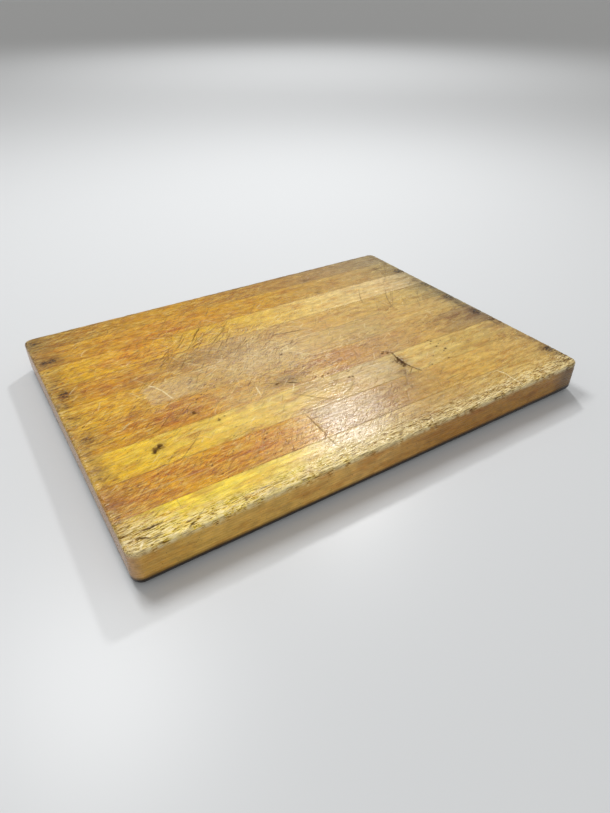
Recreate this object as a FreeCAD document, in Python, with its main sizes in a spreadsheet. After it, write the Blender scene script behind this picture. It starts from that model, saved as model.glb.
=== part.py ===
import FreeCAD, Part
import os

import Sketcher

# An edge-grain butcher-block chopping board: nine hardwood staves lie side by side along X
# and are glued face to face, with a thin cured film of glue between each pair.
# The board lies flat. Its origin is the middle of its underside, +X runs along the grain,
# +Y runs from the front stave to the back stave and +Z points up to the worktop.

NODE_FOLDER = "parts"

# Driving dimensions in millimetres: alias, value, what it measures.
DIMENSIONS = [
    ("board_length", 508.0, "along the grain, from end to end"),
    ("board_height", 38.1, "from the underside to the worktop"),
    ("stave_count", 9, "staves side by side"),
    ("stave_width", 42.7, "of each stave between the two outer ones"),
    ("edge_stave_width", 37.0, "of the front and the back stave, trimmed when the board was squared"),
    ("glue_thickness", 0.15, "of one cured film of glue"),
    ("corner_radius", 9.5, "of the four upright corners, seen from above"),
    ("underside_radius", 8.0, "of the round that lifts the bottom edge off the table"),
    ("arris_radius", 3.0, "of the eased top edge"),
]

BOARD_WIDTH = (
    "(2 * sizes.edge_stave_width"
    " + (sizes.stave_count - 2) * sizes.stave_width"
    " + (sizes.stave_count - 1) * sizes.glue_thickness)"
)
STAVE_PITCH = "(sizes.stave_width + sizes.glue_thickness)"

# How near two heights or places have to be to count as the same one.
SAME_PLACE = 1e-4


def make_sizes(doc):
    """The sheet of driving dimensions, one row for each: name, value, meaning."""
    sheet = doc.addObject("Spreadsheet::Sheet", "sizes")
    for row, (alias, value, meaning) in enumerate(DIMENSIONS, start=1):
        sheet.set(f"A{row}", alias)
        sheet.set(f"B{row}", str(value))
        sheet.set(f"C{row}", meaning)
        sheet.setAlias(f"B{row}", alias)
    doc.recompute()
    return sheet


def origin_plane(body, role):
    """One of the three planes that every body carries at its own origin."""
    return next(plane for plane in body.Origin.OriginFeatures if plane.Role == role)


def plan_sketch(body, width):
    """The layer seen from above: a rectangle centred on X, with its front side on the X axis."""
    sketch = body.newObject("Sketcher::SketchObject", f"{body.Name}_plan")
    sketch.AttachmentSupport = [(origin_plane(body, "XY_Plane"), "")]
    sketch.MapMode = "FlatFace"
    corners = [
        FreeCAD.Vector(-200, 0, 0),
        FreeCAD.Vector(200, 0, 0),
        FreeCAD.Vector(200, 20, 0),
        FreeCAD.Vector(-200, 20, 0),
    ]
    for start, end in zip(corners, corners[1:] + corners[:1]):
        sketch.addGeometry(Part.LineSegment(start, end), False)
    front, right, back, left = range(4)
    start_point, end_point, origin_point, x_axis = 1, 2, 1, -1
    for side, following in ((front, right), (right, back), (back, left), (left, front)):
        sketch.addConstraint(
            Sketcher.Constraint("Coincident", side, end_point, following, start_point)
        )
    for side in (front, back):
        sketch.addConstraint(Sketcher.Constraint("Horizontal", side))
    for side in (right, left):
        sketch.addConstraint(Sketcher.Constraint("Vertical", side))
    sketch.addConstraint(
        Sketcher.Constraint(
            "Symmetric", front, start_point, front, end_point, x_axis, origin_point
        )
    )
    along = sketch.addConstraint(
        Sketcher.Constraint("DistanceX", front, start_point, front, end_point, 400)
    )
    across = sketch.addConstraint(
        Sketcher.Constraint("DistanceY", right, start_point, right, end_point, 20)
    )
    sketch.renameConstraint(along, "along_grain")
    sketch.renameConstraint(across, "across_grain")
    sketch.setExpression("Constraints.along_grain", "sizes.board_length")
    sketch.setExpression("Constraints.across_grain", width)
    return sketch


def edges_where(shape, wanted):
    """The names of the edges whose two box corners satisfy the test."""
    names = []
    for index, edge in enumerate(shape.Edges, start=1):
        box = edge.BoundBox
        if wanted(box):
            names.append(f"Edge{index}")
    return names


def round_edges(body, name, radius, wanted):
    """Rounds the chosen edges of the body's last feature."""
    body.Document.recompute()
    base = body.Tip
    fillet = body.newObject("PartDesign::Fillet", name)
    fillet.Base = (base, edges_where(base.Shape, wanted))
    fillet.setExpression("Radius", radius)
    body.Document.recompute()
    return fillet


def lies_at(low, high, place):
    """True if a stretch from low to high has no depth and lies at that place."""
    return abs(low - place) < SAME_PLACE and abs(high - place) < SAME_PLACE


def make_layer(doc, name, width, front_side, outer_side=None):
    """One stave or one film of glue. outer_side is "front" or "back" on the two edge staves."""
    body = doc.addObject("PartDesign::Body", name)
    body.Label = name
    body.setExpression("Placement.Base.y", front_side)
    sketch = plan_sketch(body, width)
    block = body.newObject("PartDesign::Pad", f"{name}_block")
    block.Profile = sketch
    block.setExpression("Length", "sizes.board_height")
    doc.recompute()

    plan = block.Shape.BoundBox
    outer_place = {"front": plan.YMin, "back": plan.YMax}.get(outer_side)
    glued_places = [y for y in (plan.YMin, plan.YMax) if y != outer_place]

    def is_upright_outer_corner(box):
        return lies_at(box.YMin, box.YMax, outer_place) and box.ZLength > plan.ZLength / 2

    def is_glued(box):
        return any(lies_at(box.YMin, box.YMax, y) for y in glued_places)

    def is_free_bottom(box):
        return lies_at(box.ZMin, box.ZMax, plan.ZMin) and not is_glued(box)

    def is_free_top(box):
        return lies_at(box.ZMin, box.ZMax, plan.ZMax) and not is_glued(box)

    if outer_side:
        round_edges(body, f"{name}_corners", "sizes.corner_radius", is_upright_outer_corner)
    round_edges(body, f"{name}_underside", "sizes.underside_radius", is_free_bottom)
    round_edges(body, f"{name}_arris", "sizes.arris_radius", is_free_top)
    return body


def make_board(doc, stave_count):
    """Every layer of the board from front to back: stave, glue, stave and so on."""
    front_side = f"-{BOARD_WIDTH} / 2"
    back_stave_side = f"{BOARD_WIDTH} / 2 - sizes.edge_stave_width"
    layers = [make_layer(doc, "front_stave", "sizes.edge_stave_width", front_side, "front")]
    for joint in range(1, stave_count):
        steps = f"{joint - 1} * {STAVE_PITCH}"
        glue_side = f"{front_side} + sizes.edge_stave_width + {steps}"
        layers.append(make_layer(doc, f"glue_line_{joint}", "sizes.glue_thickness", glue_side))
        if joint < stave_count - 1:
            stave_side = f"{glue_side} + sizes.glue_thickness"
            layers.append(make_layer(doc, f"stave_{joint + 1}", "sizes.stave_width", stave_side))
    layers.append(
        make_layer(doc, "back_stave", "sizes.edge_stave_width", back_stave_side, "back")
    )
    return layers


def check(doc, layers):
    """Stops before anything is written if a feature failed or a layer isn't one valid solid."""
    for thing in doc.Objects:
        if "Invalid" in thing.State or "Error" in thing.State:
            raise RuntimeError(f"{thing.Name} failed: {thing.State}")
    for layer in layers:
        shape = layer.Shape
        if shape.isNull() or not shape.isValid() or len(shape.Solids) != 1:
            raise RuntimeError(f"{layer.Label} is not one valid solid")


def write(layers):
    """Writes each layer to its own file, and prints its box."""
    os.makedirs(NODE_FOLDER, exist_ok=True)
    for layer in layers:
        layer.Shape.exportStep(os.path.join(NODE_FOLDER, f"{layer.Label}.step"))
        box = layer.Shape.BoundBox
        print(
            f"{layer.Label}: X {box.XMin:.2f} to {box.XMax:.2f},"
            f" Y {box.YMin:.2f} to {box.YMax:.2f},"
            f" Z {box.ZMin:.2f} to {box.ZMax:.2f},"
            f" volume {layer.Shape.Volume:.0f}"
        )


document = FreeCAD.newDocument("chopping_board")
sizes = make_sizes(document)
board = make_board(document, int(sizes.get("stave_count")))
document.recompute()
check(document, board)
write(board)
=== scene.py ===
# %% [markdown]
# # A worn butcher-block chopping board
# Nine long hardwood staves lie side by side and are glued face to face. Years of knives
# have dished and scored the top, frayed its front edge and soaked grime into its ends.
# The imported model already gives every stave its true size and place, so the first cell
# only loads it and measures its box.

# %% Load the fixed frame
import math
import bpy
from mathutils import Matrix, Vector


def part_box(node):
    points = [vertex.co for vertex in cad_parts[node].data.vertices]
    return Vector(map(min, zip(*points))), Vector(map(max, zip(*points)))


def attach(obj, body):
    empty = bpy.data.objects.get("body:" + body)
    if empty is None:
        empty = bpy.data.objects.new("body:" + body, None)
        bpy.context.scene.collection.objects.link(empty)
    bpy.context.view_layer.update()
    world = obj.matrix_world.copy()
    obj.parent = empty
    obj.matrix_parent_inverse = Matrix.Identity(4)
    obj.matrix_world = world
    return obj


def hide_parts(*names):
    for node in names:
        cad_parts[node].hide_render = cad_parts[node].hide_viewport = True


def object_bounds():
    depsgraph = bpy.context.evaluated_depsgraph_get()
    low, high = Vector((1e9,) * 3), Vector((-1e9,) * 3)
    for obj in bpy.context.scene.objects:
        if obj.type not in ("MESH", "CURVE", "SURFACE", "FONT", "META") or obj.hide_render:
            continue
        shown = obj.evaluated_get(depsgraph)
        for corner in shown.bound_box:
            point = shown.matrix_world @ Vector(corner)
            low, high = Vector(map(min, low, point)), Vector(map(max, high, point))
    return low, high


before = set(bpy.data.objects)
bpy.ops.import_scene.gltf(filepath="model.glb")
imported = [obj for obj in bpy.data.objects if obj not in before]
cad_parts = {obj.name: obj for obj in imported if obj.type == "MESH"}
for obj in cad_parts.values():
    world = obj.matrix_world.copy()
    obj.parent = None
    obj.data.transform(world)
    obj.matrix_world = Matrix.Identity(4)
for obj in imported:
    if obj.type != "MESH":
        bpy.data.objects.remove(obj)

from types import SimpleNamespace

import bpy
import numpy as np

MM = 0.001
cad_low, cad_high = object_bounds()
LENGTH = (cad_high.x - cad_low.x) / MM
WIDTH = (cad_high.y - cad_low.y) / MM
HEIGHT = (cad_high.z - cad_low.z) / MM
print(f"board box: {LENGTH:.1f} x {WIDTH:.1f} x {HEIGHT:.1f} mm")

# %% [markdown]
# ## The order of the layers
# A bench carpenter numbers the staves before glueing them up, and so does this cell: the
# nodes are sorted from front to back by where they lie, which gives the staves and the
# films of glue between them without repeating any sizes here.

# %% Sort the staves and the glue lines from front to back
def from_the_front(word):
    """The nodes whose names hold the word, sorted by their place across the board."""
    names = [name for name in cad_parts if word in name]
    return sorted(names, key=lambda name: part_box(name)[0].y)


STAVES = from_the_front("stave")
GLUE_LINES = from_the_front("glue_line")
JOINTS = [(sum(c.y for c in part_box(name)) / 2 - cad_low.y) / MM for name in GLUE_LINES]
print(len(STAVES), "staves,", len(GLUE_LINES), "glue lines, joints at",
      [round(place, 1) for place in JOINTS], "mm")

# %% [markdown]
# ## A map of the worn top
# Wear could be drawn stave by stave, but knives don't stop at a glue line. So the whole
# top is one set of maps, in millimetres from the front left corner: how deep the surface
# is worn, where grime sits, where fibres are torn and pale, where the wood is dry and
# hazy, where it is soaked and dark, and where the knife works most. Each stave later
# reads its own part of the maps, both for its shape and for its colours.

# %% Lay out the maps
CELL = 0.4
ACROSS = np.arange(0, WIDTH + CELL, CELL)
ALONG = np.arange(0, LENGTH + CELL, CELL)
X, Y = np.meshgrid(ALONG, ACROSS)
MAP_NAMES = ("depth", "grime", "fresh", "haze", "dirt", "amber", "fray", "scored")
worn = {name: np.zeros(X.shape) for name in MAP_NAMES}
print("maps of", X.shape, "cells of", CELL, "mm")


def soft_noise(seed, along, across):
    """Smooth random hills from -1 to 1, each about along by across millimetres."""
    u = X / along
    v = Y / across
    i = u.astype(int)
    j = v.astype(int)
    table = np.random.default_rng(seed).uniform(-1, 1, (j.max() + 2, i.max() + 2))
    fu = (u - i) ** 2 * (3 - 2 * (u - i))
    fv = (v - j) ** 2 * (3 - 2 * (v - j))
    near = table[j, i] * (1 - fu) + table[j, i + 1] * fu
    far = table[j + 1, i] * (1 - fu) + table[j + 1, i + 1] * fu
    return near * (1 - fv) + far * fv


def hill(x, y, reach_x, reach_y):
    """A soft round hill of height 1."""
    return np.exp(-(((X - x) / reach_x) ** 2) - ((Y - y) / reach_y) ** 2)


def smooth_step(value, start, end):
    """0 before start, 1 after end, and a smooth rise between them."""
    share = np.clip((value - start) / (end - start), 0, 1)
    return share**2 * (3 - 2 * share)


def darken(name, amount):
    """Raises a map to at least this amount, and never past 1."""
    worn[name] = np.clip(np.maximum(worn[name], amount), 0, 1)


# %% [markdown]
# ## Dishing, raised grain and the joints
# Scrubbing and scraping wear the middle of a board lower than its rim, and wet hardwood
# lifts its harder grain into long low ridges. Each stave also shrinks on its own, so it
# stands a hair proud of its neighbours or below them, and a shallow valley marks each
# joint.

# %% Wear the top as a whole
DISH_DEPTH = 0.35
STAVE_STEP = 0.10
JOINT_VALLEY = 0.10
VALLEY_HALF_WIDTH = 0.9
WAVES = [
    # seed, along, across, height: slow waves, raised grain, fine grain
    (1, 70, 33, 0.05),
    (2, 24, 1.6, 0.035),
    (3, 9, 1.1, 0.025),
]

middle = hill(0.47 * LENGTH, 0.5 * WIDTH, 0.33 * LENGTH, 0.30 * WIDTH)
worn["depth"] += DISH_DEPTH * middle
for seed, along, across, height in WAVES:
    worn["depth"] += height * (1 + soft_noise(seed, along, across))
steps = np.random.default_rng(4).uniform(0, STAVE_STEP, len(STAVES))
worn["depth"] += steps[np.searchsorted(JOINTS, ACROSS)][:, None]
for place in JOINTS:
    valley = np.clip(1 - np.abs(Y - place) / VALLEY_HALF_WIDTH, 0, 1)
    worn["depth"] += JOINT_VALLEY * valley
    darken("grime", 0.30 * valley * (0.6 + 0.4 * soft_noise(int(place), 30, 5)))
print(f"dished by up to {worn['depth'].max():.2f} mm")

# %% [markdown]
# ## The frayed front edge and the dirty ends
# The front edge takes the knocks: its fibres have split along the grain into pale
# splinters with dark gaps between them, and the arris itself is knocked into lumps. The
# ends drink up water and dirt, because a tree carries water along its grain, so a band at
# each end is grey, pitted and stained. Every band is a soft fade from its edge, as deep
# as its reach in millimetres, broken up by noise of the size of what it stands for.

# %% Fray the edges
FRONT_REACH = 18
ARRIS_REACH = 6
BACK_REACH = 4.5
ENDS_REACH = 6
LEFT_BAND = 17
RIGHT_BAND = 10

from_front = Y
from_back = WIDTH - Y
from_left = X
from_right = LENGTH - X
splinters = soft_noise(11, 9, 1.1) + 0.7 * soft_noise(12, 3.5, 0.8)
lumps = soft_noise(18, 5, 3.5) + 0.5 * soft_noise(19, 2.2, 1.8)
pits = soft_noise(13, 2.6, 1.6) + 0.6 * soft_noise(14, 1.3, 1.1)
blotches = soft_noise(15, 8, 12) + 0.6 * soft_noise(16, 3.5, 5)

front_reach = FRONT_REACH + 6 * soft_noise(17, 26, 9) + 14 * np.exp(-((X / 60) ** 2))
front_reach += 7 * smooth_step(X, 300, 440)
fray_front = np.exp(-((from_front / front_reach) ** 3))
at_arris = np.exp(-((from_front / ARRIS_REACH) ** 2))
fray_back = np.exp(-((from_back / BACK_REACH) ** 2))
from_end = np.minimum(from_left, from_right)
fray_ends = np.exp(-((from_end / (ENDS_REACH + 2 * blotches)) ** 2))
darken("fray", np.maximum(fray_front, 0.45 * np.maximum(fray_back, fray_ends)))
worn["depth"] += fray_front * np.clip(0.14 + 0.30 * splinters, 0, 0.7)
worn["depth"] += at_arris * np.clip(0.40 + 0.30 * splinters + 0.45 * lumps, 0, 1.3)
worn["depth"] += fray_back * np.clip(0.20 + 0.25 * splinters, 0, 0.7)
worn["depth"] += fray_ends * np.clip(0.12 + 0.30 * pits, 0, 0.6)
darken("grime", fray_front * (1 - 0.7 * at_arris) * np.clip(0.75 * splinters - 0.35, 0, 0.6))
darken("fresh", fray_front * np.clip(-0.8 * splinters - 0.10, 0, 0.6))
darken("fresh", at_arris * np.clip(0.20 - 0.5 * lumps, 0, 0.45))
back_grime = 0.35 + 0.45 * smooth_step(X, 190, 260) + 0.4 * blotches
darken("grime", fray_back * np.clip(back_grime, 0, 0.95))

band_left = np.exp(-((from_left / (LEFT_BAND + 6 * blotches)) ** 3))
band_right = np.exp(-((from_right / (RIGHT_BAND + 7 * blotches)) ** 4))
darken("dirt", band_left * np.clip(0.02 + 0.42 * blotches + 0.3 * splinters, 0, 0.9))
darken("dirt", band_right * np.clip(0.30 + 0.45 * blotches + 0.2 * splinters, 0, 1.0))
clogged = np.clip(0.45 * splinters + 0.3 * blotches - 0.3, 0, 0.5)
darken("grime", (band_left + band_right) * clogged)
print(f"edges frayed to {worn['depth'].max():.2f} mm deep")

# %% [markdown]
# ## One mark at a time
# A knife leaves a long V that is shallower towards its ends and may bow a little. A chip
# or a burn is a short, wide mark with ragged sides. Both are the same function with other
# sizes: it only touches the cells within reach of the mark, so hundreds of marks are
# quick.

# %% Define a mark
RAGGED = soft_noise(61, 1.7, 1.7) + 0.5 * soft_noise(62, 0.9, 0.9)
TRAIL_OVERLAP = 1.25
SPOT_STRETCH = 1.3
SPOT_ANGLE = 20
SPOT_STEEPNESS = 0.12


def mark(x, y, length, angle, half_width=0.7, depth=0.15, grime=0.5, fresh=0.0, bow=0.0):
    """A groove centred at x, y in millimetres, turned by angle degrees from the grain."""
    reach = length / 2 + half_width + abs(bow)
    columns = slice(max(int((x - reach) / CELL), 0), int((x + reach) / CELL) + 2)
    rows = slice(max(int((y - reach) / CELL), 0), int((y + reach) / CELL) + 2)
    part = (rows, columns)
    turn = math.radians(angle)
    dx = X[part] - x
    dy = Y[part] - y
    run = (dx * math.cos(turn) + dy * math.sin(turn)) / (length / 2)
    side = dy * math.cos(turn) - dx * math.sin(turn) - bow * (1 - run**2)
    # The deeper a mark is, the more ragged its sides are.
    side += min(0.30 + 0.25 * depth, 0.6) * half_width * RAGGED[part]
    taper = np.clip(1 - run**2, 0, 1) ** 0.5
    groove = np.clip(1 - np.abs(side) / half_width, 0, 1) * taper
    worn["depth"][part] += depth * groove
    for name, amount in (("grime", grime), ("fresh", fresh)):
        worn[name][part] = np.maximum(worn[name][part], amount * np.clip(1.4 * groove, 0, 1))


def trail(points, **looks):
    """A crooked mark through several points."""
    for (x0, y0), (x1, y1) in zip(points, points[1:]):
        length = math.hypot(x1 - x0, y1 - y0)
        angle = math.degrees(math.atan2(y1 - y0, x1 - x0))
        mark((x0 + x1) / 2, (y0 + y1) / 2, TRAIL_OVERLAP * length, angle, **looks)


def spot(x, y, radius, grime=0.8):
    """A small pit or speck, nearly round."""
    mark(x, y, 2 * radius * SPOT_STRETCH, SPOT_ANGLE, radius, SPOT_STEEPNESS * radius, grime)


def stain(name, x, y, reach_x, reach_y, amount, seed):
    """A soft stain with an uneven rim, on one of the maps."""
    uneven = 1 + 0.35 * soft_noise(50 + seed, reach_x * 0.6, reach_y * 0.6)
    darken(name, amount * hill(x, y, reach_x, reach_y) * uneven)


# %% [markdown]
# ## The cook's hand
# Most cuts come in families. The cook stands at one spot and slices with one habit, so
# each family has a middle, a spread, a usual direction and a usual length. The draws are
# seeded, so the board is the same each time.

# %% Score the top with families of knife cuts
hand = np.random.default_rng(2024)
# Knives seldom cut nearer to the rim than this.
RIM = 12
# name: count, middle x, middle y, spread x, spread y, angle, wander, length, grime, fresh
FAMILIES = {
    "slicing left of the middle": (120, 165, 270, 42, 26, 46, 8, 22, 0.62, 0.0),
    "slicing right of the middle": (34, 405, 248, 52, 44, 60, 9, 24, 0.42, 0.0),
    "chopping in the middle": (170, 200, 195, 58, 42, 45, 14, 15, 0.42, 0.0),
    "crossing strokes": (80, 185, 195, 60, 45, -42, 12, 16, 0.20, 0.45),
    "pale scuffs": (170, 215, 190, 85, 60, 40, 20, 11, 0.0, 0.55),
    "strokes on the amber side": (120, 80, 160, 38, 70, 38, 14, 12, 0.45, 0.0),
    "along the grain": (240, 330, 170, 110, 110, 4, 9, 13, 0.42, 0.0),
    "cuts near the front": (50, 330, 80, 85, 36, 30, 22, 12, 0.42, 0.0),
    "stray cuts": (110, 254, 187, 150, 110, 40, 34, 12, 0.40, 0.12),
}
for count, x, y, spread_x, spread_y, angle, wander, length, grime, fresh in FAMILIES.values():
    for _ in range(count):
        mark(
            np.clip(hand.normal(x, spread_x), RIM, LENGTH - RIM),
            np.clip(hand.normal(y, spread_y), RIM, WIDTH - RIM),
            length * hand.uniform(0.5, 1.6),
            hand.normal(angle, wander),
            half_width=hand.uniform(0.45, 0.70),
            depth=hand.uniform(0.04, 0.16),
            grime=grime * hand.uniform(0.4, 1.2),
            fresh=fresh * hand.uniform(0.4, 1.2),
            bow=hand.normal(0, 0.6),
        )
print(sum(family[0] for family in FAMILIES.values()), "knife cuts")

# %% [markdown]
# ## The marks that a friend would recognise
# Some marks are this board's own: a dark chip in the third stave, a long crooked crack
# further right, two deep gashes at the front left corner, a pale curved scratch near the
# middle. They are placed one by one, from the front stave to the back one.

# %% Place the single marks
SINGLE_CUTS = [
    # x, y, length, angle, half width, depth, grime, fresh, and its bow, if any
    (27, 19, 17, 5, 1.5, 0.7, 1, 0, 0.3),
    (16, 11, 11, -22, 1.4, 0.65, 0.95, 0, 1.0),
    (24, 8, 14, 2, 0.9, 0.3, 0.8, 0),
    (13, 6, 8, 60, 1.3, 0.1, 0, 0.9),
    (53, 5, 9, 30, 1.3, 0.35, 0.85, 0, 0.5),
    (93, 12, 16, 3, 0.8, 0.2, 0.6, 0, 0.4),
    (120, 11, 14, -3, 0.8, 0.22, 0.65, 0),
    (293, 10, 9, -25, 1.3, 0.4, 0.85, 0),
    (298, 6, 8, 70, 1.0, 0.1, 0, 0.9),
    (200.5, 60, 38, 90, 0.8, 0.22, 0.55, 0),
    (199.5, 33, 24, 90, 0.7, 0.15, 0.35, 0),
    (62, 57, 80, 0, 0.8, 0.04, 0, 0.2),
    (368, 51, 24, 3, 0.8, 0.15, 0.6, 0, 0.3),
    (371, 43, 13, 4, 0.7, 0.12, 0.55, 0),
    (64, 106, 11, 30, 4.2, 0.45, 0.85, 0),
    (59, 102, 7, 60, 2.4, 0.45, 0.95, 0),
    (88.5, 91, 30, 41, 0.7, 0.15, 0.6, 0, 0.4),
    (224, 99, 49, -48, 0.8, 0.16, 0.5, 0, -0.8),
    (258, 108, 18, 42, 0.7, 0.1, 0.45, 0),
    (268, 94, 22, 38, 0.7, 0.1, 0.4, 0, 0.5),
    (340, 85, 16, 40, 0.9, 0.25, 0.6, 0),
    (82, 137, 30, 46, 0.6, 0.18, 0.65, 0, 0.5),
    (97, 138, 28, 34, 0.5, 0.12, 0.45, 0, 0.6),
    (70, 129, 9, 24, 1.3, 0.14, 0.6, 0),
    (182, 137, 18, 80, 0.8, 0.08, 0, 0.9, 0.3),
    (205, 138, 22, -35, 1.0, 0.15, 0.55, 0),
    (219, 132, 14, -35, 1.3, 0.15, 0.75, 0),
    (318, 146, 36, 50, 0.8, 0.08, 0.16, 0, 1.0),
    (328, 150, 30, 52, 0.8, 0.07, 0.12, 0),
    (256, 203, 27, 12, 0.9, 0.18, 0.6, 0, 0.5),
    (271, 228, 46, -11, 0.9, 0.26, 0.8, 0, -0.8),
    (215, 232, 20, 38, 0.9, 0.18, 0.6, 0),
    (217, 229, 16, 30, 0.7, 0.1, 0.4, 0),
    (66, 240, 20, -14, 0.9, 0.14, 0.55, 0, -2.0),
    (165, 257, 20, 27, 1.0, 0.22, 0.7, 0),
    (50, 267, 34, -62, 0.7, 0.1, 0.35, 0),
    (432, 236, 62, 62, 0.9, 0.16, 0.6, 0, 3.0),
    (405, 262, 48, 60, 0.8, 0.15, 0.55, 0, 2.0),
    (417, 225, 30, 98, 0.8, 0.15, 0.55, 0, 2.0),
    (90, 343, 8, 68, 0.7, 0.12, 0.7, 0),
    (100, 351, 18, -22, 0.9, 0.1, 0.45, 0),
]
for single in SINGLE_CUTS:
    mark(*single)

CROOKED_MARKS = [
    # half width, depth, grime, fresh, then the points that the mark goes through
    (1.0, 0.35, 0.85, 0, (336, 133), (345, 125), (342, 111)),
    (2.8, 0.75, 0.9, 0, (343, 114), (341, 105), (342, 97)),
    (1.2, 0.4, 0.85, 0, (342, 98), (344, 89), (348, 78)),
    (0.8, 0.2, 0.6, 0, (339, 114), (336, 104), (338, 96)),
    (1.2, 0.1, 0.25, 0, (343, 101), (330, 83), (316, 63)),
    (0.8, 0.12, 0, 0.95, (91, 205), (95, 199), (99, 190), (103, 171)),
    (0.8, 0.12, 0, 0.85, (416, 34), (419, 26), (418, 14), (419, 2)),
    (0.6, 0.06, 0, 0.55, (138, 230), (152, 214), (166, 198)),
    (1.1, 0.28, 0.9, 0, (167, 270), (178, 284), (186, 293)),
    (0.7, 0.15, 0.5, 0, (152, 252), (178, 270), (205, 287)),
    (0.7, 0.12, 0.45, 0, (250, 234), (270, 247), (289, 258)),
    (0.7, 0.12, 0.5, 0, (241, 258), (257, 266)),
    (0.7, 0.12, 0.45, 0, (180, 290), (196, 300), (212, 306)),
    (0.7, 0.12, 0.45, 0, (453, 256), (440, 240), (422, 217)),
    (0.7, 0.12, 0.45, 0, (478, 234), (470, 224), (461, 209)),
]
for half_width, depth, grime, fresh, *points in CROOKED_MARKS:
    trail(points, half_width=half_width, depth=depth, grime=grime, fresh=fresh)

SPECKS = [
    # x, y, radius
    (127, 114, 1.7), (134, 117, 1.0), (136, 96, 0.9), (128, 85, 0.9), (123, 157, 1.6),
    (111, 136, 1.7), (111, 138, 1.5), (130, 162, 1.0), (120, 152, 1.0), (108, 146, 0.9),
    (95, 63, 1.0), (97, 44, 1.2), (94, 58, 1.2), (155, 72, 1.3), (150, 66, 1.1),
    (153, 43, 0.9), (51, 73, 1.0), (118, 66, 0.9), (245, 128, 1.3), (252, 126, 1.4),
    (260, 127, 1.2), (204, 138, 2.2), (275, 109, 1.5), (281, 119, 1.4), (279, 108, 1.2),
    (272, 150, 1.1), (274, 145, 1.2), (335, 129, 1.9), (340, 126, 1.7), (344, 122, 1.3),
    (338, 106, 2.2), (340, 100, 2.2), (338, 95, 2.2), (333, 108, 1.4), (399, 120, 1.3),
    (403, 112, 1.2), (397, 108, 1.5), (402, 99, 1.7), (410, 108, 1.0), (392, 122, 1.0),
    (391, 82, 1.4), (366, 81, 1.0), (238, 187, 1.8), (248, 185, 1.3), (15, 171, 1.5),
    (9, 287, 1.7), (398, 124, 1.4), (395, 116, 1.2), (410, 116, 1.0), (398, 97, 1.3),
    (393, 139, 1.0), (380, 131, 0.9), (423, 160, 1.0), (431, 157, 0.9), (379, 94, 1.0),
]
for x, y, radius in SPECKS:
    spot(x, y, radius)
print(len(SINGLE_CUTS), "single marks,", len(CROOKED_MARKS), "crooked ones,", len(SPECKS), "specks")

# %% [markdown]
# ## Stains and dry patches
# Oil soaks in where the knife seldom goes, so the left of the board is a deep amber.
# Where it is scrubbed most, the wood is dry, bleached and full of fine scuffs. Both are
# broad soft patches, so they go on the maps as hills.

# %% Spread the stains
STAINS = {
    # map: x, y, reach along, reach across, amount, seed
    "haze": [
        (210, 200, 88, 62, 0.75, 1), (170, 140, 40, 26, 0.50, 2),
        (236, 62, 42, 24, 0.85, 3), (220, 28, 40, 16, 1.00, 4),
        (300, 105, 38, 24, 0.25, 5), (330, 190, 70, 40, 0.15, 6),
        (321, 106, 14, 11, 0.60, 31),
    ],
    "amber": [
        (60, 60, 95, 17, 0.80, 7), (150, 62, 42, 16, 0.75, 8),
        (80, 143, 36, 18, 0.85, 9), (275, 148, 42, 16, 0.65, 10),
        (95, 278, 28, 18, 0.90, 11), (60, 232, 36, 15, 0.65, 12),
        (150, 306, 62, 10, 0.80, 13),
    ],
    "dirt": [
        (215, 138, 22, 9, 0.55, 14), (160, 228, 42, 12, 0.40, 15),
        (366, 342, 6, 6, 0.55, 16), (361, 300, 4, 4, 0.50, 17),
        (477, 322, 7, 6, 0.45, 18), (15, 309, 12, 9, 0.90, 19),
        (13, 235, 8, 11, 0.90, 20), (13, 188, 7, 7, 0.50, 22),
        (16, 151, 9, 8, 0.60, 23), (11, 103, 7, 12, 0.60, 21),
        (8, 357, 9, 7, 0.80, 24), (8, 60, 7, 11, 0.45, 25),
        (64, 105, 7, 5, 0.75, 26), (341, 104, 9, 15, 0.70, 27),
        (331, 83, 7, 11, 0.55, 28), (318, 66, 8, 10, 0.40, 29),
        (111, 137, 5, 4, 0.55, 30),
    ],
}
for name, rows in STAINS.items():
    for row in rows:
        stain(name, *row)

# The haze starts along a straight line in the fifth stave and fades to the right.
start_of_haze = smooth_step(X, 78, 84) * smooth_step(Y, 166, 172) * (1 - smooth_step(Y, 200, 207))
darken("haze", 0.75 * start_of_haze * (1 - smooth_step(X, 110, 170)))

RIGHT_END_BLOTS = ((36, 9), (147, 11), (200, 10), (245, 10), (300, 9))
for place, reach in RIGHT_END_BLOTS:
    stain("dirt", LENGTH - 6, place, 11, reach, 1.0, int(place))
print(sum(len(rows) for rows in STAINS.values()) + len(RIGHT_END_BLOTS), "stains")

# %% [markdown]
# ## Where the knife works
# Fine scoring is thickest where the cook slices and thins out to the right and along a
# few staves near the front. Deep wear is cut off at the end, so that no overlap of marks
# digs a hole.

# %% Map the scoring
DEEPEST = 1.8
SPARED = [
    # x, y, reach along, reach across
    (190, 101, 120, 18),
    (110, 29, 90, 9),
    (378, 101, 28, 16),
    (110, 8, 200, 14),
]
worked = 0.50 + 0.40 * soft_noise(71, 34, 21) + 0.5 * hill(170, 210, 80, 70)
worked -= 0.45 * smooth_step(X, 240, 340)
for x, y, reach_x, reach_y in SPARED:
    worked -= 0.75 * hill(x, y, reach_x, reach_y)
darken("scored", np.clip(worked, 0.05, 1))
worn["depth"] = np.minimum(worn["depth"], DEEPEST)
print("deepest wear", round(worn["depth"].max(), 2), "mm")

# %% [markdown]
# ## Reading the maps
# The maps are grids and a stave's corners fall between their cells, so each reading mixes
# the four nearest cells.

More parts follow.
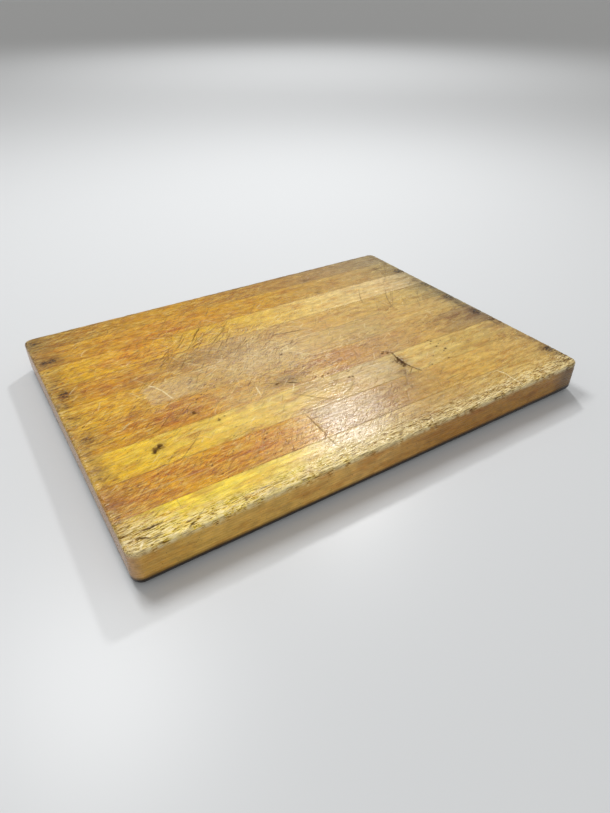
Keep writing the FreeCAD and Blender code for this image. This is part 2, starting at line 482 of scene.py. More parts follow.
# %% Read a map at any place on the board
def read(name, x, y):
    """The map's value at places given in metres in the row frame."""
    u = np.clip((x - cad_low.x) / MM / CELL, 0, len(ALONG) - 1.001)
    v = np.clip((y - cad_low.y) / MM / CELL, 0, len(ACROSS) - 1.001)
    i = u.astype(int)
    j = v.astype(int)
    grid = worn[name]
    near = grid[j, i] * (1 - u + i) + grid[j, i + 1] * (u - i)
    far = grid[j + 1, i] * (1 - u + i) + grid[j + 1, i + 1] * (u - i)
    return near * (1 - v + j) + far * (v - j)


# %% [markdown]
# ## Cutting a stave to shape
# A joiner planes a block square, rounds its free edges with a router and only then starts
# to use it. The same order works here: a cube at the stave's size and place, the upright
# corners, the underside and the top edge bevelled in turn, and the sides that are glued
# left square. Bisecting and subdividing come last, because a bevel needs long clean edges.

# %% Helpers that pick edges and faces by their place
CORNER_RADIUS = 9.5 * MM
UNDERSIDE_RADIUS = 8.0 * MM
ARRIS_RADIUS = 3.0 * MM
NEAR = 1e-6
SAME_PLACE = 10 * NEAR
HALF_LENGTH = (cad_high.x - cad_low.x) / 2
HALF_WIDTH = (cad_high.y - cad_low.y) / 2
X_AXIS, Y_AXIS, Z_AXIS = range(3)


def ends_of_edges(mesh):
    """The two end points of every edge, as an array of edge, end, axis."""
    points = np.empty(len(mesh.vertices) * 3)
    mesh.vertices.foreach_get("co", points)
    pairs = np.empty(len(mesh.edges) * 2, int)
    mesh.edges.foreach_get("vertices", pairs)
    return points.reshape(-1, 3)[pairs.reshape(-1, 2)]


def select_edges(piece, wanted):
    """Leaves edit mode selecting just the edges for which wanted(ends) is true."""
    bpy.ops.object.mode_set(mode="EDIT")
    bpy.ops.mesh.select_mode(type="EDGE")
    bpy.ops.mesh.select_all(action="DESELECT")
    bpy.ops.object.mode_set(mode="OBJECT")
    mesh = piece.data
    mesh.edges.foreach_set("select", wanted(ends_of_edges(mesh)))
    bpy.ops.object.mode_set(mode="EDIT")


def both(ends, axis, place):
    """True for each edge whose two ends are at that place along the axis."""
    return np.all(np.abs(ends[:, :, axis] - place) < NEAR, axis=1)


def bevel(piece, wanted, radius, segments):
    """Rounds the wanted edges."""
    select_edges(piece, wanted)
    bpy.ops.mesh.bevel(offset=radius, segments=segments, affect="EDGES", clamp_overlap=False)
    bpy.ops.object.mode_set(mode="OBJECT")


def divide_along(piece, shortest, cuts):
    """Divides every edge that runs along the grain and is longer than shortest."""

    def runs_along(ends):
        span = np.abs(ends[:, 1] - ends[:, 0])
        straight = (span[:, Y_AXIS] < NEAR) & (span[:, Z_AXIS] < NEAR)
        return (span[:, X_AXIS] > shortest) & straight

    select_edges(piece, runs_along)
    bpy.ops.mesh.subdivide(number_cuts=cuts)
    bpy.ops.object.mode_set(mode="OBJECT")


def slice_at(piece, axis, places, wanted_faces):
    """Bisects the wanted faces with one plane at each place along the axis."""
    normal = [0, 0, 0]
    normal[axis] = 1
    for place in places:
        centres = np.empty(len(piece.data.polygons) * 3)
        piece.data.polygons.foreach_get("center", centres)
        normals = np.empty(len(piece.data.polygons) * 3)
        piece.data.polygons.foreach_get("normal", normals)
        chosen = wanted_faces(centres.reshape(-1, 3), normals.reshape(-1, 3))
        bpy.ops.object.mode_set(mode="EDIT")
        bpy.ops.mesh.select_mode(type="FACE")
        bpy.ops.mesh.select_all(action="DESELECT")
        bpy.ops.object.mode_set(mode="OBJECT")
        piece.data.polygons.foreach_set("select", chosen)
        bpy.ops.object.mode_set(mode="EDIT")
        point = [0, 0, 0]
        point[axis] = place
        bpy.ops.mesh.bisect(plane_co=point, plane_no=normal, threshold=1e-7)
        bpy.ops.object.mode_set(mode="OBJECT")


# %% [markdown]
# ## From block to fine mesh
# A cut is under a millimetre wide, so the top needs points about that far apart, while
# the underside and the glued sides stay plain. Slicing across the stave first, while the
# block has few faces, and then dividing along the grain keeps the whole mesh in rows.

# %% Make one block
TOP_STEP = 0.56 * MM
CORNER_STEP = 1.5 * TOP_STEP
SIDE_ROWS = 8
LONG_EDGE = 100 * MM
ALONG_CUTS = (9, 9, 8)


def block(node, name):
    """A plain block the size of the node's box, its place in its mesh."""
    low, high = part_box(node)
    bpy.ops.object.select_all(action="DESELECT")
    bpy.ops.mesh.primitive_cube_add(size=1, location=(low + high) / 2, scale=high - low)
    piece = bpy.context.object
    piece.name = name
    piece.data.name = name
    bpy.ops.object.transform_apply(location=True, rotation=True, scale=True)
    return piece


def rounded_block(node, name):
    """The block with its free edges rounded. Sides that meet a neighbour stay square."""
    piece = block(node, name)
    low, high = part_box(node)
    at_front = abs(low.y - cad_low.y) < SAME_PLACE
    at_back = abs(high.y - cad_high.y) < SAME_PLACE
    glued = [y for y, free in ((low.y, at_front), (high.y, at_back)) if not free]

    def is_glued(ends):
        return np.any([both(ends, Y_AXIS, y) for y in glued], axis=0)

    def is_upright_corner(ends):
        upright = np.abs(ends[:, 0, Z_AXIS] - ends[:, 1, Z_AXIS]) > NEAR
        return both(ends, Y_AXIS, outer) & upright

    if at_front or at_back:
        outer = low.y if at_front else high.y
        bevel(piece, is_upright_corner, CORNER_RADIUS, segments=8)
    bevel(piece, lambda e: both(e, Z_AXIS, low.z) & ~is_glued(e), UNDERSIDE_RADIUS, segments=7)
    bevel(piece, lambda e: both(e, Z_AXIS, high.z) & ~is_glued(e), ARRIS_RADIUS, segments=5)
    return piece, glued


def divide_rows(piece):
    """Divides the long edges in three rounds, down to about half a millimetre."""
    shortest = LONG_EDGE
    for cuts in ALONG_CUTS:
        divide_along(piece, shortest, cuts)
        shortest /= cuts + 1


def fine_block(node, name):
    """The rounded block, sliced and divided finely enough to carry the wear."""
    piece, glued = rounded_block(node, name)
    low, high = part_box(node)

    def not_under(centres, normals):
        return normals[:, Z_AXIS] > -0.999

    def free_side(centres, normals):
        upright = np.abs(normals[:, Z_AXIS]) < 0.01
        for y in glued:
            upright &= np.abs(centres[:, Y_AXIS] - y) > SAME_PLACE
        return upright

    rows = np.linspace(low.z + UNDERSIDE_RADIUS, high.z - ARRIS_RADIUS, SIDE_ROWS + 1)
    slice_at(piece, Z_AXIS, rows[1:-1], free_side)
    is_edge_stave = len(glued) == 1
    if is_edge_stave:
        inset = HALF_LENGTH - CORNER_RADIUS
        steps = np.arange(0, CORNER_RADIUS, CORNER_STEP)
        for side in (-1, 1):
            slice_at(piece, X_AXIS, side * (inset + steps), not_under)
    columns = np.linspace(low.y, high.y, round((high.y - low.y) / TOP_STEP) + 1)
    slice_at(piece, Y_AXIS, columns[1:-1], not_under)
    divide_rows(piece)
    return piece


# %% [markdown]
# ## Wearing the block down
# The maps say how deep each place is worn. On top the surface goes straight down, and on
# the free sides it goes in a little, with the ripple that a planer leaves. Near the top
# the sides take on some of the wear of the rim above them, and so do the torn fibres and
# the dirt there. The glued sides only sink with the top, so neighbours never cross. Each
# point also keeps its own reading of every map, for the material to colour by.

# %% Wear a piece by the maps
SIDE_RIPPLE = 0.045 * MM
RIM_WEAR = 0.8
# Heights under which the free sides fade into painted shade, fully dark under the second.
UNDERSIDE_SHADE_TOP = 10 * MM
UNDERSIDE_SHADE_FULL = 7.5 * MM
SOAKED_BY = 0.2 * LENGTH * MM


def outward(x, y):
    """Distance inside the board's outline, and the way out of it, at each place."""
    over_x = np.abs(x) - (HALF_LENGTH - CORNER_RADIUS)
    over_y = np.abs(y) - (HALF_WIDTH - CORNER_RADIUS)
    corner = np.hypot(np.maximum(over_x, 0), np.maximum(over_y, 0))
    inside = CORNER_RADIUS - corner - np.minimum(np.maximum(over_x, over_y), 0)
    out_x = np.where(over_x > over_y, 1.0, 0.0)
    out_y = 1 - out_x
    in_corner = (over_x > 0) & (over_y > 0)
    out_x = np.where(in_corner, over_x / np.maximum(corner, NEAR), out_x) * np.sign(x)
    out_y = np.where(in_corner, over_y / np.maximum(corner, NEAR), out_y) * np.sign(y)
    return inside, out_x, out_y


def store(mesh, name, values):
    """Keeps one value for each point of the mesh, under a name."""
    mesh.attributes.new(name, "FLOAT", "POINT").data.foreach_set("value", values)


def wear_down(piece, sunk=0.0):
    """Moves the piece's points to the worn surface and stores the maps and the painted shade on
    them.
    """
    mesh = piece.data
    points = np.empty(len(mesh.vertices) * 3)
    mesh.vertices.foreach_get("co", points)
    x, y, z = points.reshape(-1, 3).T.copy()
    top = smooth_step(z, cad_high.z - 1.2 * ARRIS_RADIUS, cad_high.z - 0.2 * ARRIS_RADIUS)
    inside, out_x, out_y = outward(x, y)
    ripple = np.sin(x / (11 * MM) + 2 * np.sin(x / (47 * MM)))
    ripple += np.sin(y / (7 * MM) + z / (9 * MM))
    near_outline = np.clip(1 - inside / UNDERSIDE_RADIUS, 0, 1)
    depth = read("depth", x, y) * MM
    side = SIDE_RIPPLE * (2 + ripple) * near_outline * (1 - top)
    by_the_arris = smooth_step(z, cad_high.z - 3 * ARRIS_RADIUS, cad_high.z - ARRIS_RADIUS)
    side += RIM_WEAR * depth * by_the_arris * near_outline**2 * (1 - 0.5 * top)
    down = (depth + sunk) * top
    moved = np.stack([x - out_x * side, y - out_y * side, z - down], axis=1)
    mesh.vertices.foreach_set("co", moved.ravel())
    soaked = np.maximum(top, smooth_step(x, 0, SOAKED_BY))
    rim = smooth_step(z + 2 * depth, cad_high.z - 1.6 * ARRIS_RADIUS,
                      cad_high.z - 0.9 * ARRIS_RADIUS)
    reach = {"dirt": soaked, "fray": rim, "fresh": rim}
    for name in MAP_NAMES[1:]:
        store(mesh, name, read(name, x, y) * reach.get(name, top))
    # Painted shade: how far down the rounded lower edge a point lies, to be glazed nearly black for
    # the dark gap under the board.
    foot = smooth_step(-z, -UNDERSIDE_SHADE_TOP, -UNDERSIDE_SHADE_FULL) * smooth_step(near_outline, 0, 0.25)
    store(mesh, "side", 1 - top)
    store(mesh, "foot", foot)
    mesh.update()


# %% [markdown]
# ## The nine staves
# Every stave goes the same way: block, bevels, fine mesh, wear. It then takes the place
# of its node and rides on the one body that the board has.

# %% Model the staves
SHARP_ANGLE = 55


def finish_piece(piece, node):
    """Shades the piece smooth but for its square edges, and ties it to its node."""
    bpy.ops.object.select_all(action="DESELECT")
    piece.select_set(True)
    bpy.context.view_layer.objects.active = piece
    bpy.ops.object.shade_smooth_by_angle(angle=math.radians(SHARP_ANGLE))
    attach(piece, "root")
    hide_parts(node)


staves = {}
for node in STAVES:
    piece = fine_block(node, "worn_" + node)
    wear_down(piece)
    finish_piece(piece, node)
    staves[node] = piece
    print(piece.name, len(piece.data.polygons), "faces")

# %% [markdown]
# ## The glue lines
# Cured glue shows as a hair-thin line, scraped flush and then worn a little lower than
# the wood. Each film is a thin block, divided along the grain only, that follows the same
# worn surface and lies a tenth of a millimetre under it.

# %% Model the films of glue
GLUE_SUNK = 0.10 * MM


def glue_film(node):
    """One film of cured glue between two staves."""
    piece, _ = rounded_block(node, "film_" + node)
    divide_rows(piece)
    wear_down(piece, GLUE_SUNK)
    finish_piece(piece, node)
    return piece


films = {node: glue_film(node) for node in GLUE_LINES}
print(len(films), "films of", len(films[GLUE_LINES[0]].data.polygons), "faces each")

# %% [markdown]
# ## Colours
# Colours are given as sRGB hex values, as a paint chart would, and one function turns
# them into the linear values that shaders work in. A run of tints along the board is
# written as one line of text, each tint after its place in hundredths of the length.

# %% Turn hex colours to linear ones
def linear(hex_colour):
    """The linear colour of an sRGB hex value, with an alpha of 1."""
    channels = [int(hex_colour[i : i + 2], 16) / 255 for i in (0, 2, 4)]
    return [c / 12.92 if c <= 0.04045 else ((c + 0.055) / 1.055) ** 2.4 for c in channels] + [1.0]


def tints_from(text):
    """The (place, linear colour) pairs of text such as "0:c8a450 30:f2da70 100:b89c68"."""
    pairs = [pair.split(":") for pair in text.split()]
    return [(int(place) / 100, linear(tint)) for place, tint in pairs]


print("the middle grey 808080 is", round(linear("808080")[0], 3), "in linear light")

# %% [markdown]
# ## A material as a stack of coats
# Wood is oiled, scratched and soiled one coat over another, and no coat takes evenly. A
# material is built the same way here: it holds its node tree and its colour so far, and
# every coat is one more Mix node with a mask as its factor. That keeps a long chain of
# nodes readable, as one line for each coat.

# %% Define a material made of coats
class Coats:
    """A material in the making: its node tree, and its colour after the last coat."""

    def __init__(self, name):
        self.material = bpy.data.materials.new(name)
        self.material.use_nodes = True
        self.tree = self.material.node_tree
        self.tree.nodes.clear()
        self.colour = None

    def feed(self, socket, value):
        """Links a socket to another, or sets it to a plain value."""
        if isinstance(value, bpy.types.NodeSocket):
            self.tree.links.new(value, socket)
        else:
            socket.default_value = value

    def add(self, kind, feeds=None, **settings):
        """Adds a node. Settings name its properties or sockets, and feeds fill its sockets."""
        node = self.tree.nodes.new("ShaderNode" + kind)
        for name, value in settings.items():
            if hasattr(node, name):
                setattr(node, name, value)
            else:
                node.inputs[name.replace("_", " ")].default_value = value
        for socket, value in (feeds or {}).items():
            self.feed(node.inputs[socket], value)
        return node

    def maths(self, operation, first, second):
        """A sum, a product or the like of two sockets or values."""
        return self.add("Math", {0: first, 1: second}, operation=operation).outputs[0]

    def times(self, first, second):
        """The product of two sockets or values: where both masks hold."""
        return self.maths("MULTIPLY", first, second)

    def spread(self, source, low, high, to_low=0.0, to_high=1.0):
        """Stretches a value from low..high to to_low..to_high, and clamps it there."""
        feeds = {0: source, 1: low, 2: high, 3: to_low, 4: to_high}
        return self.add("MapRange", feeds).outputs[0]

    def ramp(self, share, text):
        """A colour ramp through tints that are given as text."""
        node = self.add("ValToRGB", {"Fac": share})
        elements = node.color_ramp.elements
        tints = tints_from(text)
        elements[0].position = tints[0][0]
        elements[1].position = tints[-1][0]
        for place, _ in tints[1:-1]:
            elements.new(place)
        for element, (_, colour) in zip(elements, tints):
            element.color = colour
        return node.outputs["Color"]

    def cover(self, amount, tint, blend="MIX"):
        """Lays a covering coat. The tint is a hex value or a colour socket."""
        paint = linear(tint) if isinstance(tint, str) else tint
        feeds = {0: amount, 6: self.colour, 7: paint}
        self.colour = self.add("Mix", feeds, data_type="RGBA", blend_type=blend).outputs[2]

    def glaze(self, amount, tint):
        """Darkens the colour as a thin coat of a transparent tint would."""
        self.cover(amount, tint, "MULTIPLY")


# %% [markdown]
# ## The patterns in worn maple
# Hard maple is a pale, close-grained wood: its growth rings are thin darker lines some
# two or three millimetres apart, and its pores are too fine to see but as short flecks
# along the grain. Years of work add scratches on top. Each pattern is solid noise, as
# long and wide as what it stands for and turned from the grain by the angle of a stroke.
# What the tree grew starts from its pith, so no two staves match, and the ends of the
# staves show arcs and dots.

# %% Make the patterns
RING_SPACING = 2.6
WAVE_TO_MM = math.tau / 20
PATTERNS = {
    # length, width, angle, detail, roughness, waviness, and whether it starts from the pith
    "streaks": (34, 1.5, 0, 5, 0.6, 0.0, True),
    "swathes": (15, 2.6, 10, 4, 0.65, 1.0, True),
    "combed": (10, 1.1, 5, 3, 0.6, 1.1, False),
    "brushed": (9, 1.0, -30, 2, 0.5, 0.8, False),
    "flecks": (3.6, 0.5, 0, 2, 0.5, 0.0, True),
    "nicks": (7, 0.6, 24, 2, 0.5, 0.0, True),
    "fibres": (6.5, 0.8, 3, 4, 0.65, 0.5, False),
    "dents": (1.5, 1.2, 0, 1, 0.5, 0.0, False),
    "clouds": (26, 9, 0, 4, 0.6, 0.0, True),
    "patches": (9, 4.5, 8, 3, 0.5, 0.0, True),
    "mottle": (3.2, 2.2, 0, 4, 0.65, 0.0, False),
    "upward_cuts": (13, 0.8, 47, 1, 0.5, 0.3, False),
    "low_cuts": (12, 0.8, 34, 2, 0.5, 0.6, False),
    "crossing_cuts": (12, 0.6, -43, 1, 0.5, 0.0, False),
}


def patterns_round(wood, in_mm, pith):
    """The growth rings round a pith, and every other pattern, as sockets by name."""
    round_pith = wood.add(
        "Mapping", {"Vector": in_mm}, vector_type="TEXTURE", Location=pith, Scale=(40, 1, 1)
    ).outputs[0]
    rings = wood.add(
        "TexWave", {"Vector": round_pith}, wave_type="RINGS", rings_direction="X",
        Scale=WAVE_TO_MM / RING_SPACING, Distortion=4.0, Detail=3.0, Detail_Scale=0.3,
        Detail_Roughness=0.6,
    )
    sockets = {"rings": rings.outputs["Fac"]}
    for name, (length, width, angle, detail, roughness, wave, grown) in PATTERNS.items():
        turned = wood.add(
            "Mapping", {"Vector": in_mm}, vector_type="TEXTURE",
            Location=pith if grown else (0, 0, 0),
            Rotation=(0, 0, math.radians(angle)), Scale=(length, width, width),
        )
        noise = wood.add(
            "TexNoise", {"Vector": turned.outputs[0]}, Scale=1.0, Detail=detail,
            Roughness=roughness, Distortion=wave,
        )
        sockets[name] = noise.outputs["Fac"]
    return sockets


def maps_on(wood):
    """The worn maps, the side mask and the painted shade low on the sides, as sockets by name."""
    words = (*MAP_NAMES[1:], "side", "foot")
    return {word: wood.add("Attribute", attribute_name=word).outputs["Fac"] for word in words}


print(len(PATTERNS), "patterns besides the rings")

# %% [markdown]
# ## Oiled wood
# Food-safe oil turned the maple amber, unevenly, so each stave has its own ramp of tints
# from left to right, and all share one ramp on their sides. Over them lie the amber
# soaks, the growth rings, and long streaks and patches that are lighter or darker.

# %% Lay the wood's own colours
RING_STRENGTH = 0.35
SIDE_SHARE = 0.85
SIDE_TINTS = "0:c8a68c 2:d4aa68 40:e0b470 60:b08044 92:a47840 96:583810 100:6c4c28"


def lay_oiled_wood(wood, see, tints):
    """The tints along the board, then amber, rings, streaks and clouds."""
    wobble = wood.spread(see.clouds, 0.3, 0.7, -0.03, 0.03)
    wood.colour = wood.ramp(wood.maths("ADD", see.share, wobble), tints)
    wood.cover(wood.times(see.side, SIDE_SHARE), wood.ramp(see.share, SIDE_TINTS))
    wood.glaze(wood.times(see.amber, wood.spread(see.clouds, 0.35, 0.6, 0.15, 1)), "f0cc58")
    wood.glaze(wood.spread(see.rings, 0.4, 0.95, 0, RING_STRENGTH), "e4cc98")
    lightness = wood.times(wood.spread(see.streaks, 0.30, 0.70, 1.14, 0.86),
                           wood.spread(see.patches, 0.32, 0.66, 1.14, 0.84))
    shade = wood.add("HueSaturation", {"Color": wood.colour, "Value": lightness}, Saturation=1.08)
    wood.colour = shade.outputs[0]
    wood.glaze(wood.spread(see.clouds, 0.48, 0.68, 0, 0.6), "dcb870")


# %% [markdown]
# ## Strokes and nicks
# A worked top is never smooth: dark strokes lie beside raised grain, a few millimetres
# long. They are too many to carve one by one, so they are coats that fade where the
# board is worked less and on its sides. Their pale coats are painted highlight on the raised
# grain, and the brown swathes are partly the wood's own tone and partly painted shade.

# %% Lay the strokes
def lay_strokes(wood, see):
    """Brown swathes (part tone, part painted shade), dark strokes, flecks, nicks, small round
    dents, and pale strokes of painted highlight.
    """
    top = wood.times(wood.spread(see.side, 0, 1, 1, 0.3),
                     wood.spread(see.scored, 0, 0.5, 0.3, 1))

    def on_top(pattern, none, full, most):
        """A mask that grows as the pattern goes from none to full."""
        return wood.times(wood.spread(pattern, none, full, 0, most), top)

    # Swathes: the brown coat is partly painted shade, the pale coat is painted highlight on raised
    # grain.
    wood.glaze(on_top(see.swathes, 0.51, 0.64, 0.75), "cc9c54")
    wood.cover(on_top(see.swathes, 0.46, 0.34, 0.5), "f2dc88")
    wood.glaze(on_top(see.flecks, 0.57, 0.70, 0.5), "8c6630")
    wood.glaze(on_top(see.nicks, 0.60, 0.72, 0.6), "8c6630")
    wood.glaze(on_top(see.combed, 0.56, 0.65, 0.65), "8c6834")
    # Painted highlight: pale combed strokes beside the dark cracks, for light caught by raised
    # grain.
    wood.cover(on_top(see.combed, 0.42, 0.33, 0.4), "f2d884")
    wood.glaze(wood.spread(see.dents, 0.70, 0.76, 0, 0.9), "70502c")


# %% [markdown]
# ## Haze and fine cuts
# Where the board is scrubbed most, the wood is dry and bleached, with pale scuffs that
# cross the cuts. Elsewhere the finest cuts show as dark lines in the cook's two usual
# directions, each with a pale streak beside it: painted highlight for the lifted wood.

# %% Lay the haze and the cuts
def lay_haze_and_cuts(wood, see):
    """Bleached wood and scuffs first, then cuts and the painted highlight beside them. Returns
    where the cuts are.
    """
    scuffs = wood.spread(see.crossing_cuts, 0.64, 0.74)
    cuts = wood.maths("MAXIMUM", wood.spread(see.upward_cuts, 0.62, 0.70),
                      wood.spread(see.low_cuts, 0.61, 0.69))
    ridge_highlights = wood.maths("MAXIMUM", wood.spread(see.upward_cuts, 0.37, 0.28),
                        wood.spread(see.low_cuts, 0.38, 0.29))
    on_top = wood.times(wood.spread(see.side, 0, 0.3, 1, 0), see.scored)
    bare = wood.times(see.haze, wood.spread(see.mottle, 0.3, 0.65, 0.45, 1.0))
    wood.cover(wood.times(bare, 0.55), "d6c29c")
    wood.cover(wood.times(scuffs, wood.spread(see.haze, 0, 0.6, 0.04, 0.6)), "ecdcb8")
    brushed = wood.spread(see.brushed, 0.58, 0.68, 0, 0.55)
    wood.glaze(wood.times(brushed, wood.spread(see.haze, 0, 0.6, 0.2, 1)), "98805c")
    wood.glaze(wood.times(cuts, wood.times(on_top, 0.8)), "7c5828")
    # Painted highlight: pale streaks beside the cuts, for light caught by the lifted wood.
    wood.cover(wood.times(ridge_highlights, wood.times(on_top, 0.35)), "f4d468")
    return cuts


# %% [markdown]
# ## Dirt, torn fibres and painted shade
# Dirt soaks into end grain brown and then grey. Torn fibres are pale with dark gaps
# between them, a fresh chip is paler still, and grime fills the deepest cuts. The rounded
# lower edge of the board is glazed nearly black: painted shade for the dark gap under it.

# %% Lay the dirt
def lay_dirt(wood, see):
    """Dirt, torn fibres, fresh wood, grime and the painted shade low on the sides. Returns where
    the gaps are.
    """
    soiled = wood.times(see.dirt, wood.spread(see.mottle, 0.38, 0.56, 0.35, 1.2))
    wood.glaze(soiled, "7c6238")
    wood.glaze(wood.spread(soiled, 0.65, 1.05, 0, 0.8), "6c6054")
    torn = wood.times(see.fray, wood.spread(see.fibres, 0.50, 0.58, 0, 0.85))
    gaps = wood.times(see.fray, wood.spread(see.fibres, 0.48, 0.41, 0, 1.0))
    wood.cover(torn, "f4e2a4")
    wood.glaze(gaps, "70501f")
    wood.cover(see.fresh, "f0dfae")
    wood.cover(see.grime, "3c2416")
    # Painted shade: the rounded lower edge of the sides glazed nearly black, for the dark gap under
    # the board.
    wood.glaze(see.foot, "1c120a")
    return gaps


# %% [markdown]
# ## The sheen of oiled wood
# Oiled and scraped wood has a soft sheen, a roughness of about 0.2 to 0.35, which draws
# the low light out into one glow. Grime and torn gaps are dull. The grain and the finest
# cuts are a shallow bump, because moving points for them would take far too many.

# %% Put the whole wood together
def worn_maple(name, tints, pith):
    """The wood of one stave, with its tints as text and its pith in millimetres."""
    wood = Coats(name)
    place = wood.add("TexCoord").outputs["Object"]
    in_mm = wood.add("Mapping", {"Vector": place}, Scale=(1 / MM, 1 / MM, 1 / MM)).outputs[0]
    along = wood.add("SeparateXYZ", {"Vector": in_mm}).outputs[0]
    see = SimpleNamespace(
        share=wood.spread(along, -LENGTH / 2, LENGTH / 2),
        **patterns_round(wood, in_mm, pith),
        **maps_on(wood),
    )
    lay_oiled_wood(wood, see, tints)
    lay_strokes(wood, see)
    cuts = lay_haze_and_cuts(wood, see)
    gaps = lay_dirt(wood, see)

    rough = wood.maths("ADD", wood.spread(see.streaks, 0.3, 0.7, 0.21, 0.33),
                       wood.times(see.grime, 0.4))
    gloss = wood.spread(wood.maths("ADD", see.grime, gaps), 0, 0.6, 0.34, 0.05)
    raised = wood.maths("ADD", see.streaks, see.mottle)
    sunk = wood.maths("ADD", wood.spread(see.flecks, 0.58, 0.74), cuts)
    relief = wood.maths("ADD", wood.maths("SUBTRACT", raised, sunk),
                        wood.times(see.fray, see.fibres))
    bump = wood.add("Bump", {"Height": relief}, Strength=0.7, Distance=0.1 * MM)
    shader = wood.add(
        "BsdfPrincipled",
        {"Base Color": wood.colour, "Roughness": rough, "Normal": bump.outputs[0],
         "Specular IOR Level": gloss},
        IOR=1.5,
    )
    wood.add("OutputMaterial", {"Surface": shader.outputs[0]})
    return wood.material


# %% [markdown]
# ## Nine staves from different trees
# No two staves come from the same part of a tree, so each gets its own run of tints from
# left to right and its own pith.

# %% Tint each stave
TINTS = {
    "front_stave": "0:c8a450 8:fae05c 30:f2da70 42:dcc488 60:bc9c60 90:d0b068 100:b89c68",
    "stave_2": "0:c08c28 10:dca408 30:d69c1c 38:dcae54 42:c8aa7c"
               " 57:ac8648 80:d0ac60 94:c8a868 100:a88c5c",
    "stave_3": "0:d4ac50 6:f0cc50 35:e4c870 45:d0b068 62:bca268"
               " 70:d8bc74 85:ccb06a 95:c4a86c 100:ac9468",
    "stave_4": "0:c8a050 8:d8a420 20:cc9008 28:d4a444 42:ceac60"
               " 55:bc8c3c 70:bc985c 80:c8a45e 100:847058",
    "stave_5": "0:dcb450 10:e0b044 25:cea85c 55:ccaa62 70:bca060 80:caa864 94:c0a66c 100:786c54",
    "stave_6": "0:bc9438 9:d49c14 25:c89838 40:c69e54 65:cca85c 90:c4aa6c 100:887e60",
    "stave_7": "0:c09a4c 9:e4b42c 20:e0a800 32:dcac14 50:e0bc58 70:e2c886 90:d4bc8c 100:a09474",
    "stave_8": "0:a88044 10:d0a040 30:d09828 50:cc9c34 70:be9a54 88:b49864 100:948660",
    "back_stave": "0:9c8048 10:b48a3c 30:ca9a38 55:b68c44 75:a48658 100:988a6c",
}
trees = np.random.default_rng(31)
for node, piece in staves.items():
    low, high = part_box(node)
    centre = (low.y + high.y) / 2 / MM
    pith = (trees.uniform(-40, 40), centre + trees.uniform(-30, 30), -trees.uniform(15, 60))
    wood = worn_maple("oiled_maple_" + node, TINTS[node], pith)
    piece.data.materials.append(wood)
    print(piece.name, "pith at", [round(p) for p in pith])

# %% [markdown]
# ## Cured wood glue
# Waterproof wood glue dries to a tough brown film. It is glossier than the wood, and oil
# and dirt have darkened it.

# %% Make the glue
def cured_glue():
    """Brown cured glue with slight patches of dirt."""
    film = Coats("cured_wood_glue")
    place = film.add("TexCoord").outputs["Object"]
    patches = film.add("TexNoise", {"Vector": place}, Scale=90.0, Detail=3.0).outputs["Fac"]
    film.colour = linear("6e4f2a")
    film.cover(patches, "a67c48")
    shader = film.add("BsdfPrincipled", {"Base Color": film.colour}, Roughness=0.4, IOR=1.48)
    film.add("OutputMaterial", {"Surface": shader.outputs[0]})
    return film.material


glue = cured_glue()
for piece in films.values():
    piece.data.materials.append(glue)
print(glue.name, "on", len(films), "films")

# %% [markdown]

# %% [markdown]
# ## The floor
# A plain pale floor with a slight sheen catches the soft shadow where the board touches
# it. It is far larger than the board, so that no edge of it shows.

# %% Lay the floor
FLOOR_SIZE = 60


def satin_floor():
    """A plain pale satin floor."""
    satin = Coats("pale_satin_floor")
    satin.colour = linear("d2d4d6")
    shader = satin.add("BsdfPrincipled", {"Base Color": satin.colour, "Specular IOR Level": 0.35},
                       Metallic=0.0, Roughness=0.34)
    satin.add("OutputMaterial", {"Surface": shader.outputs[0]})
    return satin.material


bpy.ops.object.select_all(action="DESELECT")
bpy.ops.mesh.primitive_plane_add(size=FLOOR_SIZE, location=(0, 0, 0))
floor = bpy.context.object
floor.name = "floor"
floor.data.materials.append(satin_floor())
print("floor of", FLOOR_SIZE, "m")

# %% [markdown]
# ## The lights
# A lamp behind the board leaves one glow on the front of its top. It is small, and stands
# where its mirror image falls on the spot it is aimed at. The key light is high behind
# the board but off to the side of that direction, so its own sheen stays out of sight. A
# weak wide light fills the front, another washes the floor far behind, and a dim pale
# room fills the rest.

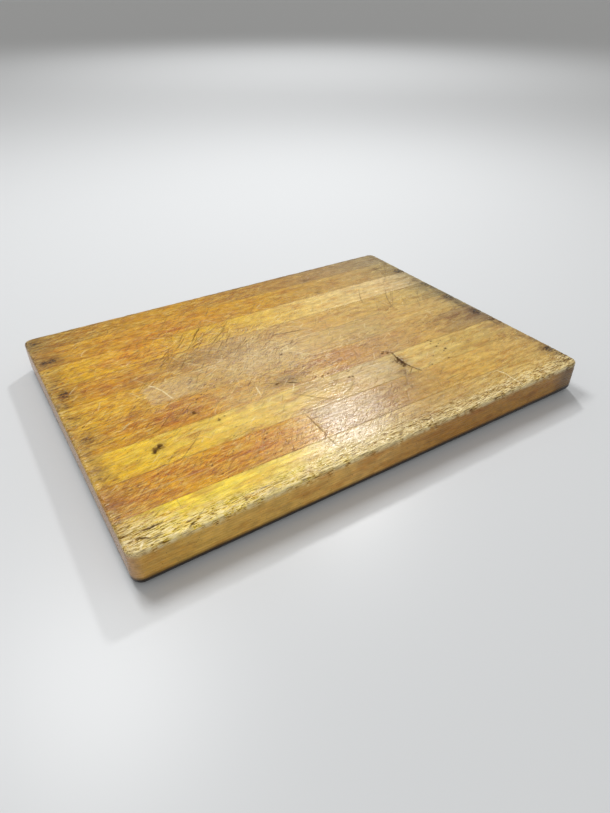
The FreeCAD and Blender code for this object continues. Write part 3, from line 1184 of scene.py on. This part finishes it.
# %% Light the board
GLOW_SPOT = (-0.050, -0.178, 0.038)
MIDDLE = (0, 0, 0)
FAR_FLOOR = (1.7, 2.8, 0)


def soft_light(name, aim, bearing, height, distance, size, power):
    """A square soft light, aimed at a point from a bearing and a height in degrees."""
    turn = math.radians(bearing)
    rise = math.radians(height)
    flat = math.cos(rise)
    way = np.array([math.cos(turn) * flat, math.sin(turn) * flat, math.sin(rise)])
    bpy.ops.object.light_add(type="AREA", location=np.array(aim) + way * distance)
    lamp = bpy.context.object
    lamp.name = name
    lamp.data.shape = "SQUARE"
    lamp.data.size = size
    lamp.data.energy = power
    lamp.rotation_euler = (math.pi / 2 - rise, 0, turn + math.pi / 2)
    print(name, "at", [round(part, 2) for part in lamp.location], "m")
    return lamp


soft_light("glow_light", GLOW_SPOT, bearing=51.9, height=40.2, distance=1.8, size=0.13, power=9.5)
soft_light("key_light", MIDDLE, bearing=108, height=62, distance=2.2, size=0.7, power=23.5)
soft_light("front_light", MIDDLE, bearing=-105, height=42, distance=2.5, size=1.2, power=10)
wash = soft_light("far_wash", FAR_FLOOR, bearing=0, height=90, distance=2.5, size=2.5, power=22)
wash.data.spread = math.radians(90)

world = bpy.data.worlds.new("pale_room")
bpy.context.scene.world = world
world.use_nodes = True
room = world.node_tree.nodes["Background"]
room.inputs["Color"].default_value = linear("f4f3f0")
room.inputs["Strength"].default_value = 0.42

# %% [markdown]
# ## The camera
# The camera stands over the front left corner, as a cook who leans over the board. Its
# lens is short and it is close, so the near corner looks large.

# %% Place the camera
VIEW_LENS = 25.63
VIEW_DOWN = 35.82
VIEW_RIGHT = 32.28
VIEW_PLACE = (-291.6, -485.7, 368.6)
bpy.ops.object.camera_add(
    location=[part * MM for part in VIEW_PLACE],
    rotation=(math.radians(90 - VIEW_DOWN), 0, -math.radians(VIEW_RIGHT)),
)
camera = bpy.context.object
camera.name = "camera"
camera.data.lens = VIEW_LENS
camera.data.clip_start = 0.01
bpy.context.scene.camera = camera
bpy.context.scene.view_settings.view_transform = "Standard"
print("camera at", VIEW_PLACE, "mm, looking", VIEW_DOWN, "degrees down")
